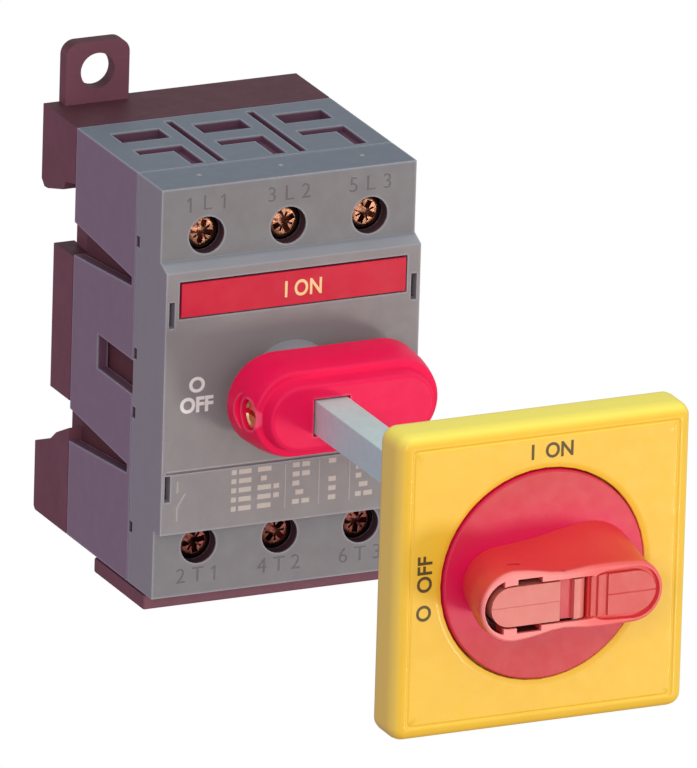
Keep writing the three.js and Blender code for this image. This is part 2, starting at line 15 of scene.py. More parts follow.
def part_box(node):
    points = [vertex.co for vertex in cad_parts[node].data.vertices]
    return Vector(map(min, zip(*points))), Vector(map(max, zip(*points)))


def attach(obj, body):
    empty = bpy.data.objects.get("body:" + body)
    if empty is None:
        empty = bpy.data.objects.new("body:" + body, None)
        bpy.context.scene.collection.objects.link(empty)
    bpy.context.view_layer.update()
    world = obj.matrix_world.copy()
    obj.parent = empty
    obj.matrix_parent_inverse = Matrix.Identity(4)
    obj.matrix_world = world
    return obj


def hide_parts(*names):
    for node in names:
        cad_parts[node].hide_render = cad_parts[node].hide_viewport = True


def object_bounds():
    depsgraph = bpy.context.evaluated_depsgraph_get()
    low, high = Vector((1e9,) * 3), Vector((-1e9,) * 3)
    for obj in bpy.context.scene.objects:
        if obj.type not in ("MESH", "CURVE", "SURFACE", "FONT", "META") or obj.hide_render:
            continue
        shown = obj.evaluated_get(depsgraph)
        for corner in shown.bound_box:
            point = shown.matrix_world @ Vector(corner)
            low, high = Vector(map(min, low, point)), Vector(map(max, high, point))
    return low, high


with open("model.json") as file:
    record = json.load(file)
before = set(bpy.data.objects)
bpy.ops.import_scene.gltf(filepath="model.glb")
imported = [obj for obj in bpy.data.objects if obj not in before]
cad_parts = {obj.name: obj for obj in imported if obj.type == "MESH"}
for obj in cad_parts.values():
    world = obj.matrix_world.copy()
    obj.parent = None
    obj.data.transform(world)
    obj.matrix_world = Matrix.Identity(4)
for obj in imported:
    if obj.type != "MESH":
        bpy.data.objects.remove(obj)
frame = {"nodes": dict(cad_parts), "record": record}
cad_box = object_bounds()
nodes = frame["nodes"]
MM = 0.001


# ---- places read from the frame ----
def low(node):
    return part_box(node)[0]


def high(node):
    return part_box(node)[1]


def middle(node):
    return (low(node) + high(node)) / 2


PIECE_GAP = 0.3 * MM  # clearance between separate pieces
COLLAR_RISE = 7.1 * MM  # from the terminals' face forward to the front of the knob's collar
NOSE_RISE = 2.7 * MM  # from the terminals' face forward to the front of the nose
PLATE_THICKNESS = 8 * MM
DISC_RISE = 0.4 * MM  # from the plate's face forward to the disc's face

HALF_WIDTH = high("housing").x
HALF_HEIGHT = high("housing").z
TERMINAL_PLANE = low("front_cover").y + COLLAR_RISE
NOSE_PLANE = TERMINAL_PLANE - NOSE_RISE
LABEL_FRONT = low("front_label").y
KNOB_BACK = high("direct_knob").y
KNOB_FRONT = low("direct_knob").y
KNOB_LEFT = low("direct_knob").x
KNOB_RIGHT = high("direct_knob").x
KNOB_RADIUS = high("direct_knob").z
PLATE_FRONT = low("door_plate").y
PLATE_BACK = PLATE_FRONT + PLATE_THICKNESS
PLATE_HALF = high("door_plate").x
DISC_RADIUS = high("handle").z
DISC_FRONT = PLATE_FRONT - DISC_RISE
LEVER_FRONT = low("handle").y
TONGUE_PIVOT = middle("tongue_pin")
POLES = (1, 2, 3)
POLE_X = [middle(f"terminal_screw_top_{pole}").x for pole in POLES]

# details that both the shapes and the colours need
GAP_X = -11.7 * MM  # centre of the curved gap round the end of the tongue
GAP_RADIUS = 4.75 * MM
HOLLOW_LEFT = -2.9 * MM  # the hollow across the tongue, beside its hinge
HOLLOW_RIGHT = TONGUE_PIVOT.x - 0.8 * MM


# ---- materials ----
def linear(*rgb):
    """sRGB 0-255 to linear RGBA."""
    def one(c):
        c /= 255
        return c / 12.92 if c <= 0.04045 else ((c + 0.055) / 1.055) ** 2.4
    return [one(c) for c in rgb] + [1.0]


class Nodes:
    """A node tree being built: add() makes a node, link() joins two sockets."""

    def __init__(self, tree):
        self.tree = tree

    def add(self, kind, **values):
        node = self.tree.nodes.new(kind)
        for key, value in values.items():
            if hasattr(node, key):
                setattr(node, key, value)
            else:
                node.inputs[key.replace("_", " ")].default_value = value
        return node

    def link(self, source, target):
        self.tree.links.new(source, target)

    def calculate(self, operation, first, second=None):
        """One step of arithmetic on sockets or numbers."""
        step = self.add("ShaderNodeMath", operation=operation)
        for socket, value in zip(step.inputs, (first, second)):
            if isinstance(value, bpy.types.NodeSocket):
                self.link(value, socket)
            elif value is not None:
                socket.default_value = value
        return step.outputs[0]

    def product(self, first, *others):
        """The product of two or more sockets."""
        for value in others:
            first = self.calculate("MULTIPLY", first, value)
        return first

    def scaled(self, rgb, share):
        """A colour times a socket."""
        step = self.add("ShaderNodeVectorMath", operation="SCALE")
        step.inputs[0].default_value = rgb[:3]
        self.link(share, step.inputs["Scale"])
        return step.outputs["Vector"]

    def split(self, vector):
        """The outputs X, Y and Z of a vector."""
        parts = self.add("ShaderNodeSeparateXYZ")
        self.link(vector, parts.inputs[0])
        return parts.outputs

    def ramp(self, value, begin, end, first=0.0, last=1.0):
        """first up to begin, last from end on, and a straight line between them."""
        step = self.add("ShaderNodeMapRange", From_Min=begin, From_Max=end, To_Min=first, To_Max=last)
        self.link(value, step.inputs["Value"])
        return step.outputs["Result"]


class Shader(Nodes):
    """The nodes of a new material, with the place of each point on the piece."""

    def __init__(self, name):
        self.material = bpy.data.materials.new(name)
        self.material.use_nodes = True
        super().__init__(self.material.node_tree)
        self.bsdf = self.tree.nodes["Principled BSDF"]
        self.where = self.add("ShaderNodeTexCoord").outputs["Object"]
        self.place = self.split(self.where)

    def noise(self, per_mm, detail=3.0, roughness=0.6, stretch=(1, 1, 1)):
        """Noise with about per_mm features in a millimetre, stretched along some axes."""
        mapping = self.add("ShaderNodeMapping", Scale=stretch)
        self.link(self.where, mapping.inputs["Vector"])
        noise = self.add("ShaderNodeTexNoise", Scale=per_mm / MM, Detail=detail, Roughness=roughness)
        self.link(mapping.outputs["Vector"], noise.inputs["Vector"])
        return noise.outputs["Fac"]

    def drift(self, per_mm, value, variation, detail=3.0):
        """Noise that stays within variation of a value."""
        return self.ramp(self.noise(per_mm, detail), begin=0.3, end=0.7,
                         first=value - variation, last=value + variation)

    def facing(self, axis, begin, end, both=False):
        """0 to 1 as a surface turns to face along an axis, or along it and against it."""
        value = self.split(self.add("ShaderNodeNewGeometry").outputs["Normal"])[axis]
        if both:
            value = self.calculate("ABSOLUTE", value)
        return self.ramp(value, begin, end)

    def crowded(self, reach_mm, most, full, inside):
        """0 in the open, up to most where surfaces within reach_mm leave less than full of the sky open."""
        near = self.add("ShaderNodeAmbientOcclusion", samples=6, inside=inside, Distance=reach_mm * MM)
        return self.ramp(near.outputs["AO"], begin=0.95, end=full, last=most)

    def painted_edge_highlight(self, reach_mm, most):
        """Share of a painted highlight: 0 on flat ground, up to most along outer edges, where the solid is
        thin within reach_mm.
        """
        return self.crowded(reach_mm, most, full=0.45, inside=True)

    def sheltered(self, reach_mm, most):
        """0 in the open, up to most in a corner that other surfaces hide within reach_mm."""
        return self.crowded(reach_mm, most, full=0.6, inside=False)

    def depth_inside(self, axis, half):
        """How far a point lies inside the planes at plus and minus half along an axis, in metres."""
        return self.calculate("SUBTRACT", half, self.calculate("ABSOLUTE", self.place[axis]))

    def cover(self, tint, share):
        """Lay tint over the base colour, by share."""
        mix = self.add("ShaderNodeMix", data_type="RGBA")
        socket = {s.identifier: s for s in mix.inputs}
        result = {s.identifier: s for s in mix.outputs}["Result_Color"]
        self.link(share, socket["Factor_Float"])
        self.link(self.bsdf.inputs["Base Color"].links[0].from_socket, socket["A_Color"])
        socket["B_Color"].default_value = tint
        self.link(result, self.bsdf.inputs["Base Color"])

    def colour(self, base, variation, per_mm=0.12):
        """Base colour whose brightness drifts by variation, slowly and in fine specks."""
        slow = self.drift(per_mm, 1, variation)
        specks = self.drift(2.2, 1, variation / 2, detail=2)
        self.link(self.scaled(base, self.product(slow, specks)), self.bsdf.inputs["Base Color"])

    def rough(self, value, variation, per_mm=0.4):
        self.link(self.drift(per_mm, value, variation), self.bsdf.inputs["Roughness"])

    def bump(self, height, depth_mm):
        bump = self.add("ShaderNodeBump", Strength=1.0, Distance=depth_mm * MM)
        self.link(height, bump.inputs["Height"])
        self.link(bump.outputs["Normal"], self.bsdf.inputs["Normal"])


def plastic(name, base, roughness, variation=0.03, gloss_drift=0.06, grain_mm=0.012, specular=0.5,
            coat=0.0, coat_roughness=0.25):
    """Shader of a moulded plastic: slow colour drift, fine spark-eroded grain and uneven gloss."""
    shader = Shader(name)
    shader.colour(base, variation)
    shader.rough(roughness, gloss_drift)
    shader.bump(shader.noise(per_mm=3.5, detail=4), grain_mm)
    shader.bsdf.inputs["Specular IOR Level"].default_value = specular
    shader.bsdf.inputs["Coat Weight"].default_value = coat
    shader.bsdf.inputs["Coat Roughness"].default_value = coat_roughness
    return shader


def moulded(name, base, roughness, **options):
    return plastic(name, base, roughness, **options).material


def body_grey(name, base, terminal_shade_tint, side_lighting_tint, top_lighting_tint, recess_shade_tint):
    """Grey plastic with painted light and shade: painted shade from the terminals' face backwards,
    tints on the sides and on top for how light falls there, a painted highlight on slopes and along
    outer edges, and painted shade inside openings."""
    shader = plastic(name, base, 0.5)
    behind = shader.calculate("SUBTRACT", shader.place["Y"], TERMINAL_PLANE)
    below_nose = shader.ramp(behind, begin=-0.9 * MM, end=-0.1 * MM)
    # painted shade on the terminals' face and everything behind it
    shader.cover(terminal_shade_tint, below_nose)
    # painted light: the sides tinted for how light falls on them
    shader.cover(side_lighting_tint, shader.facing("X", begin=0.6, end=0.95, both=True))
    # painted highlight on slopes
    shader.cover(SLOPE_HIGHLIGHT_TINT, shader.facing("Z", begin=0.3, end=0.42))
    # painted light: the top behind the nose tinted for how light falls on it
    shader.cover(top_lighting_tint, shader.product(shader.facing("Z", begin=0.85, end=0.97), below_nose))
    # painted shade deep inside openings
    inside = shader.calculate("MINIMUM", shader.depth_inside("X", HALF_WIDTH),
                              shader.depth_inside("Z", HALF_HEIGHT))
    deepest = shader.calculate("MINIMUM", inside, behind)
    shader.cover(recess_shade_tint, shader.ramp(deepest, begin=0.2 * MM, end=0.35 * MM))
    # painted shade on the floors of the slots in the nose
    slot_floor = shader.product(
        shader.facing("Y", begin=-0.9, end=-0.98),
        shader.ramp(behind, begin=0.25 * MM - NOSE_RISE, end=0.4 * MM - NOSE_RISE),
        shader.ramp(behind, begin=-0.1 * MM, end=-0.5 * MM))
    shader.cover(recess_shade_tint, slot_floor)
    # painted highlight along outer edges
    shader.cover(EDGE_HIGHLIGHT_TINT, shader.painted_edge_highlight(reach_mm=0.45, most=0.55))
    return shader.material


def dark_moulded(name, base, top_lighting_tint):
    """Dark plastic with painted shade where it faces up."""
    shader = plastic(name, base, 0.55, variation=0.08, specular=0.3)
    # painted shade on faces that look up
    shader.cover(top_lighting_tint, shader.facing("Z", begin=0.3, end=0.8))
    return shader.material


def yellow_moulded(name, base, side_lighting_tint, top_lighting_tint):
    """Yellow plastic with painted light: paler on its sides and where it faces up."""
    shader = plastic(name, base, 0.42, variation=0.02, gloss_drift=0.05, grain_mm=0.01, coat=0.1,
                     coat_roughness=0.03)
    # painted light on the sides and the top
    shader.cover(side_lighting_tint, shader.facing("X", begin=0.4, end=0.9, both=True))
    shader.cover(top_lighting_tint, shader.facing("Z", begin=0.3, end=0.8))
    return shader.material


def disc_red(name, base, shade_tint):
    """Red plastic of the disc, with painted shade round the lever on its upper part."""
    shader = plastic(name, base, 0.42, specular=0.4, coat=0.1)
    height = shader.split(shader.add("ShaderNodeNewGeometry").outputs["Position"])["Z"]
    upper = shader.ramp(height, begin=-13 * MM, end=-5 * MM)
    # painted shade where the lever shelters the disc, on its upper part only
    shader.cover(shade_tint, shader.product(shader.sheltered(reach_mm=11, most=0.95), upper))
    return shader.material


def knob_red(name, base, edge_highlight_tint):
    """Red plastic of the knob, with a painted highlight along its edges."""
    shader = plastic(name, base, 0.42, specular=0.14, coat=0.03)
    # painted highlight along the knob's edges
    shader.cover(edge_highlight_tint, shader.painted_edge_highlight(reach_mm=0.5, most=0.7))
    return shader.material


def tongue_red(name, base, hollow_shade_tint):
    """Red plastic of the tongue, pale as a painted highlight, with painted shade in the hollow beside its
    hinge.
    """
    shader = plastic(name, base, 0.4, variation=0.05, coat=0.1)
    fade = 0.1 * MM
    right_of_start = shader.ramp(shader.place["X"], begin=HOLLOW_LEFT - fade, end=HOLLOW_LEFT)
    left_of_end = shader.ramp(shader.place["X"], begin=HOLLOW_RIGHT, end=HOLLOW_RIGHT - fade)
    # painted shade in the hollow beside the hinge
    shader.cover(hollow_shade_tint, shader.product(right_of_start, left_of_end))
    return shader.material


def lever_red(name, base, face_highlight_tint, gap_shade_tint):
    """Red plastic of the lever, with a painted highlight on the left part of its face and painted shade in
    the gap round the tongue.
    """
    shader = plastic(name, base, 0.4, grain_mm=0.01)
    near_face = shader.ramp(shader.place["Y"], begin=LEVER_FRONT + 0.9 * MM, end=LEVER_FRONT + 0.35 * MM)
    leftward = shader.ramp(shader.place["X"], begin=4 * MM, end=-3 * MM, first=0.3)
    # painted highlight on the face, strongest on its left part
    shader.cover(face_highlight_tint, shader.product(near_face, leftward))

    # the gap lies within a bar whose round end is centred on GAP_X
    past_centre = shader.calculate("MINIMUM", shader.calculate("ADD", shader.place["X"], -GAP_X), 0)
    off_line = shader.add("ShaderNodeCombineXYZ")
    shader.link(past_centre, off_line.inputs["X"])
    shader.link(shader.place["Z"], off_line.inputs["Z"])
    distance = shader.add("ShaderNodeVectorMath", operation="LENGTH")
    shader.link(off_line.outputs[0], distance.inputs[0])
    inner_wall = shader.product(
        shader.ramp(distance.outputs["Value"], begin=GAP_RADIUS + 0.2 * MM, end=GAP_RADIUS + 0.05 * MM),
        shader.ramp(shader.place["Y"], begin=LEVER_FRONT + 0.35 * MM, end=LEVER_FRONT + 0.8 * MM),
        shader.ramp(shader.place["X"], begin=1.0 * MM, end=0.5 * MM),
        shader.facing("X", begin=-0.3, end=-0.1))
    # painted shade on the inner wall of the gap round the tongue
    shader.cover(gap_shade_tint, inner_wall)
    return shader.material


def metal(name, base, roughness, stretch=(1, 1, 1), depth_mm=0.01, variation=0.08, metallic=1.0):
    """Bare or plated metal with drawn or turned lines along the short axes of stretch."""
    shader = Shader(name)
    shader.colour(base, variation, per_mm=0.5)
    shader.rough(roughness, 0.08, per_mm=1.0)
    shader.bump(shader.noise(per_mm=1.5, stretch=stretch), depth_mm)
    shader.bsdf.inputs["Metallic"].default_value = metallic
    return shader.material


# tints for a painted highlight along edges and on slopes
EDGE_HIGHLIGHT_TINT = linear(182, 184, 194)
SLOPE_HIGHLIGHT_TINT = linear(156, 156, 162)
GREY = body_grey("grey_plastic", linear(138, 138, 138), terminal_shade_tint=linear(132, 130, 132),
                 side_lighting_tint=linear(138, 116, 134), top_lighting_tint=linear(104, 114, 125),
                 recess_shade_tint=linear(106, 70, 90))
COVER_GREY = body_grey("cover_grey", linear(137, 132, 131), terminal_shade_tint=linear(121, 118, 119),
                       side_lighting_tint=linear(148, 146, 150), top_lighting_tint=linear(104, 114, 124),
                       recess_shade_tint=linear(78, 50, 56))
DARK = dark_moulded("dark_plastic", linear(122, 74, 86), top_lighting_tint=linear(82, 43, 53))
DARKEST = moulded("chamber_plastic", linear(104, 62, 68), 0.6, specular=0.2)
KNOB_RED = knob_red("knob_red", linear(250, 18, 82), edge_highlight_tint=linear(255, 104, 132))
HANDLE_RED = disc_red("handle_red", linear(204, 46, 54), shade_tint=linear(226, 2, 84))
LEVER_RED = lever_red("lever_red", linear(230, 62, 62), face_highlight_tint=linear(248, 136, 130),
                      gap_shade_tint=linear(84, 26, 30))
# the tongue's pale red is a painted highlight on the lever's face
TONGUE_RED = tongue_red("tongue_red", linear(217, 116, 104), hollow_shade_tint=linear(206, 58, 66))
PANEL_RED = moulded("panel_red", linear(211, 68, 62), 0.4, coat=0.1)
LABEL_RED = moulded("label_red", linear(208, 20, 54), 0.5, grain_mm=0.004, specular=0.3)
YELLOW = yellow_moulded("yellow_plastic", linear(241, 194, 44), side_lighting_tint=linear(248, 214, 98),
                        top_lighting_tint=linear(255, 238, 92))
BLACK = moulded("black_plastic", linear(40, 40, 44), 0.5)
RUBBER = moulded("rubber", linear(30, 30, 32), 0.85, grain_mm=0.02)
SHAFT = metal("drawn_steel", linear(202, 226, 224), 0.5, stretch=(1, 0.04, 1), variation=0.04,
              metallic=0.25)
STEEL = metal("plated_steel", linear(190, 192, 196), 0.35)
COPPER = metal("copper", linear(200, 130, 95), 0.35)
BRASS = metal("brass", linear(234, 200, 140), 0.36)
SCREW_BRASS = metal("brown_brass", linear(120, 82, 66), 0.3, variation=0.7, depth_mm=0.03)
# the same brass made darker: painted shade on the screws under the nose
SCREW_SHADED = metal("shaded_brass", linear(92, 52, 46), 0.36, variation=0.7, depth_mm=0.03)
PRINT_LIGHT = moulded("light_print", linear(236, 232, 224), 0.5, grain_mm=0.002)
PRINT_CREAM = moulded("cream_print", linear(250, 214, 150), 0.5, grain_mm=0.002)
PRINT_TABLE = moulded("table_print", linear(194, 184, 172), 0.55, grain_mm=0.002)
PRINT_FAINT = moulded("faint_print", linear(168, 160, 154), 0.55, grain_mm=0.002)
PRINT_DARK = moulded("dark_print", linear(86, 68, 20), 0.5, grain_mm=0.002)
EMBOSSED = moulded("embossed_grey", linear(98, 92, 96), 0.5, grain_mm=0.01)

FINISH_OF_SLOT = {
    "grey_plastic": GREY, "dark_plastic": DARK, "red_plastic": KNOB_RED, "red_label": LABEL_RED,
    "yellow_plastic": YELLOW, "black_plastic": BLACK, "rubber": RUBBER, "brass": BRASS,
    "copper": COPPER, "steel": STEEL, "shaft_steel": SHAFT,
}
FINISH_OF_NODE = {"front_cover": COVER_GREY, "contact_block": DARKEST}
SLOT_OF_NODE = {s["node"]: s["material_slot"] for s in frame["record"]["subparts"]}


# ---- mesh helpers ----
def link_object(name, data):
    piece = bpy.data.objects.new(name, data)
    bpy.context.scene.collection.objects.link(piece)
    return piece


def paint(piece, material):
    piece.data.materials.clear()
    piece.data.materials.append(material)


def new_piece(name, mesh, material, body, replaces=()):
    piece = link_object(name, mesh)
    paint(piece, material)
    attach(piece, body)
    if replaces:
        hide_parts(*replaces)
    return piece


def round_edges(piece, width_mm, segments=3, angle=32):
    """Round the edges that are sharper than angle, and shade the piece smoothly."""
    bevel = piece.modifiers.new("edges", "BEVEL")
    bevel.width = width_mm * MM
    bevel.segments = segments
    bevel.limit_method = "ANGLE"
    bevel.angle_limit = math.radians(angle)
    bevel.use_clamp_overlap = True
    normals = piece.modifiers.new("normals", "WEIGHTED_NORMAL")
    normals.weight = 60
    for polygon in piece.data.polygons:
        polygon.use_smooth = True


def mesh_from(bm, name):
    """The mesh of a finished bmesh, which is freed."""
    mesh = bpy.data.meshes.new(name)
    bm.to_mesh(mesh)
    bm.free()
    return mesh


def joined_mesh(name, meshes):
    bm = bmesh.new()
    for mesh in meshes:
        bm.from_mesh(mesh)
    return mesh_from(bm, name)


def ring_mesh(name, rings, ends=True):
    """A skin over rings of equal point counts, with or without a face at each end."""
    bm = bmesh.new()
    loops = [[bm.verts.new(p) for p in ring] for ring in rings]
    count = len(rings[0])
    for lower, upper in zip(loops, loops[1:]):
        for i in range(count):
            j = (i + 1) % count
            bm.faces.new((lower[i], lower[j], upper[j], upper[i]))
    if ends:
        bm.faces.new(loops[0][::-1])
        bm.faces.new(loops[-1])
    bmesh.ops.recalc_face_normals(bm, faces=bm.faces)
    return mesh_from(bm, name)


def loop_mesh(name, rings):
    """A skin over rings that closes on itself, as a washer does."""
    return ring_mesh(name, rings + rings[:1], ends=False)


def at_depth(points, y):
    """Points given as x and z, all at one y."""
    return [Vector((x, y, z)) for x, z in points]


def at_width(points, x):
    """Points given as y and z, all at one x."""
    return [Vector((x, y, z)) for y, z in points]


def at_height(points, z):
    """Points given as x and y, all at one z."""
    return [Vector((x, y, z)) for x, y in points]


def circle(radius, count, centre=(0, 0)):
    return [(centre[0] + radius * math.cos(math.tau * i / count),
             centre[1] + radius * math.sin(math.tau * i / count)) for i in range(count)]


def round_bar(x0, x1, r0, r1, count=24):
    """Outline of a bar with round ends, counter-clockwise from the lower right."""
    c0, c1 = x0 + r0, x1 - r1
    turn = math.acos((r0 - r1) / (c1 - c0))
    right = [(c1 + r1 * math.cos(a), r1 * math.sin(a))
             for a in (turn * (2 * i / (count - 1) - 1) for i in range(count))]
    rest = math.tau - 2 * turn
    left = [(c0 + r0 * math.cos(a), r0 * math.sin(a))
            for a in (turn + rest * i / (count - 1) for i in range(count))]
    return right + left


def rounded_square(half, radius, per_corner=9, per_side=11):
    """Outline of a square with round corners and evenly split sides, counter-clockwise from the
    lower right."""
    inner = half - radius
    quarter = math.pi / 2
    step = 2 * inner / (per_side + 1)
    corners = [(1, -1), (1, 1), (-1, 1), (-1, -1)]
    sides = [(0, 1), (-1, 0), (0, -1), (1, 0)]
    points = []
    for index, ((sx, sz), (dx, dz)) in enumerate(zip(corners, sides)):
        for i in range(per_corner):
            angle = quarter * (index - 1 + i / (per_corner - 1))
            points.append((sx * inner + radius * math.cos(angle), sz * inner + radius * math.sin(angle)))
        x, z = points[-1]
        points += [(x + dx * step * i, z + dz * step * i) for i in range(1, per_side + 1)]
    return points


def subdivide(points, pieces):
    """Split the long straight stretches of a closed outline into short ones."""
    edges = list(zip(points, points[1:] + points[:1]))
    longest = max(math.dist(a, b) for a, b in edges)
    out = []
    for a, b in edges:
        parts = pieces if math.dist(a, b) > longest * 0.6 else 1
        for i in range(parts):
            t = i / parts
            out.append((a[0] + (b[0] - a[0]) * t, a[1] + (b[1] - a[1]) * t))
    return out


def solid_tool(rings):
    """A solid for carve()."""
    return link_object("tool", ring_mesh("tool", rings))


def outline_tool(points, y0, y1):
    return solid_tool([at_depth(points, y0), at_depth(points, y1)])


def box_tool(x0, x1, y0, y1, z0, z1):
    return outline_tool([(x0, z0), (x1, z0), (x1, z1), (x0, z1)], y0, y1)


def carve(piece, tools, operation="DIFFERENCE"):
    """Apply exact booleans to a piece and delete the tools."""
    for tool in tools:
        step = piece.modifiers.new("carve", "BOOLEAN")
        step.operation = operation
        step.solver = "EXACT"
        step.object = tool
    bpy.context.view_layer.update()
    graph = bpy.context.evaluated_depsgraph_get()
    mesh = bpy.data.meshes.new_from_object(piece.evaluated_get(graph))
    piece.modifiers.clear()
    piece.data = mesh
    for tool in tools:
        bpy.data.objects.remove(tool)


# ---- carried-over CAD nodes ----
EDGE_MM = {
    "housing": 0.25, "front_cover": 0.3, "rear_base": 0.35, "bottom_strip": 0.4, "rail_latch": 0.3,
    "contact_block": 0.15, "extension_shaft": 0.25, "neck_nut": 0.3, "door_gasket": 0.3,
    "front_label": 0.06, "detent_spring": 0.08, "retaining_ring": 0.15, "tongue_pin": 0.1,
}
OTHER_EDGE_MM = 0.12
WELD_MM = 0.002
FLAT_DEGREES = 1.0
# its flat faces have both holes and notches, and joining their triangles would tear them
KEEP_TRIANGLES = ("rear_base",)


def soften(piece, width_mm, flatten):
    """Round the sharp edges of a faceted solid, with the triangles of each flat face joined first."""
    weld = piece.modifiers.new("weld", "WELD")
    weld.merge_threshold = WELD_MM * MM
    if flatten:
        flat = piece.modifiers.new("flat", "DECIMATE")
        flat.decimate_type = "DISSOLVE"
        flat.angle_limit = math.radians(FLAT_DEGREES)
    round_edges(piece, width_mm)


def dress_cad_nodes():
    for name, node in nodes.items():
        paint(node, FINISH_OF_NODE.get(name, FINISH_OF_SLOT[SLOT_OF_NODE[name]]))
        soften(node, EDGE_MM.get(name, OTHER_EDGE_MM), flatten=name not in KEEP_TRIANGLES)


# ---- direct knob ----
PAST = 2 * MM  # how far a tool reaches past the surface that it cuts


def knob_outline(inset, draw_in):
    radius = KNOB_RADIUS - inset * MM
    return round_bar(KNOB_LEFT + draw_in * MM, KNOB_RIGHT - draw_in * MM, radius, radius)


def knob_grip():
    depth = (KNOB_BACK - KNOB_FRONT) / MM
    # depth behind the front, inset and how far the ends draw in, from the back to the front
    profile = [(depth, 0.4, 0.3), (depth - 0.5, 0.0, 0.0), (7.0, 0.1, 0.3), (4.6, 0.45, 0.7),
               (3.0, 0.85, 1.1), (2.72, 1.05, 1.3), (2.62, 1.35, 1.6), (2.5, 2.05, 2.2), (2.3, 2.25, 2.4),
               (0.6, 2.6, 2.8), (0.25, 2.75, 2.95), (0.06, 3.05, 3.25), (0, 3.5, 3.7)]
    rings = [at_depth(knob_outline(inset, draw_in), KNOB_FRONT + behind * MM)
             for behind, inset, draw_in in profile]
    knob = new_piece("knob_grip", ring_mesh("knob_grip", rings), KNOB_RED, "rotor_unit",
                     replaces=("direct_knob",))

    shaft_hole = high("extension_shaft").x + PIECE_GAP
    screw_centre = (middle("knob_clamp_screw").y, 0)
    screw_hole = circle(high("knob_clamp_screw").z + PIECE_GAP, 32, screw_centre)
    seat_radius = 3.7 * MM
    seat_depth = 1.0 * MM
    seat = circle(seat_radius, 40, screw_centre)
    outside = KNOB_LEFT - PAST
    carve(knob, [
        box_tool(-shaft_hole, shaft_hole, KNOB_FRONT - PAST, KNOB_BACK + PAST, -shaft_hole, shaft_hole),
        solid_tool([at_width(screw_hole, x) for x in (outside, low("knob_clamp_nut").x)]),
        solid_tool([at_width(seat, x) for x in (outside, KNOB_LEFT + seat_depth)]),
    ])
    round_edges(knob, 0.3, angle=38)


def knob_screw():
    """The slotted clamp screw in the end of the knob, its face a little hollow."""
    start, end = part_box("knob_clamp_screw")
    radius = end.z
    depth_y = middle("knob_clamp_screw").y
    # place along the screw and share of its radius
    profile = [(start.x + 0.35 * MM, 0.86), (start.x, 0.93), (start.x + 0.05 * MM, 1.0), (end.x, 1.0)]
    rings = [at_width(circle(radius * share, 32, (depth_y, 0)), x) for x, share in profile]
    screw = new_piece("knob_screw", ring_mesh("knob_screw", rings), BRASS, "rotor_unit",
                      replaces=("knob_clamp_screw",))
    slot_half = 0.45 * MM
    slot_depth = 1.2 * MM
    carve(screw, [box_tool(start.x - PAST, start.x + slot_depth, depth_y - radius * 2,
                           depth_y + radius * 2, -slot_half, slot_half)])
    round_edges(screw, 0.12, segments=2)


# ---- terminal screws ----
SCREW_HEAD_MM = 2.4
# cuts in a screw's head, in millimetres: half width, half length and depth, and the turn from the first
DRIVE_CUTS = [(0.5, 2.05, 1.5, 0), (0.18, 1.75, 0.5, math.pi / 4)]


def terminal_screw(end, index, finish, turn):
    node = f"terminal_screw_{end}_{index}"
    front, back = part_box(node)
    centre = (middle(node).x, middle(node).z)
    radius = (back.x - front.x) / 2 / MM
    # depth behind the face and radius, from the tip to the face
    profile = [((back.y - front.y) / MM, 1.55), (SCREW_HEAD_MM, 1.75), (SCREW_HEAD_MM, radius),
               (0.35, radius), (0.1, radius - 0.3), (0, radius - 0.8)]
    rings = [at_depth(circle(r * MM, 36, centre), front.y + behind * MM) for behind, r in profile]
    screw = new_piece(f"screw_{end}_{index}", ring_mesh("screw", rings), finish, "base",
                      replaces=(node,))
    tools = []
    for half_width, half_length, depth, more_turn in DRIVE_CUTS:
        for quarter in (0, math.pi / 2):
            tool = box_tool(-half_width * MM, half_width * MM, front.y - PAST, front.y + depth * MM,
                            -half_length * MM, half_length * MM)
            tool.data.transform(Matrix.Translation((centre[0], 0, centre[1]))
                                @ Matrix.Rotation(turn + more_turn + quarter, 4, "Y"))
            tools.append(tool)
    carve(screw, tools)
    round_edges(screw, 0.1, segments=2)


def terminal_screws():
    """Each screw is turned by another angle, as it was left when it was tightened."""
    # the bottom screws get a darker copy of the brass as painted shade under the nose
    for end, finish, first_turn in (("top", SCREW_BRASS, 0.9), ("bottom", SCREW_SHADED, 0.5)):
        for index in POLES:
            terminal_screw(end, index, finish, first_turn + 0.9 * index)


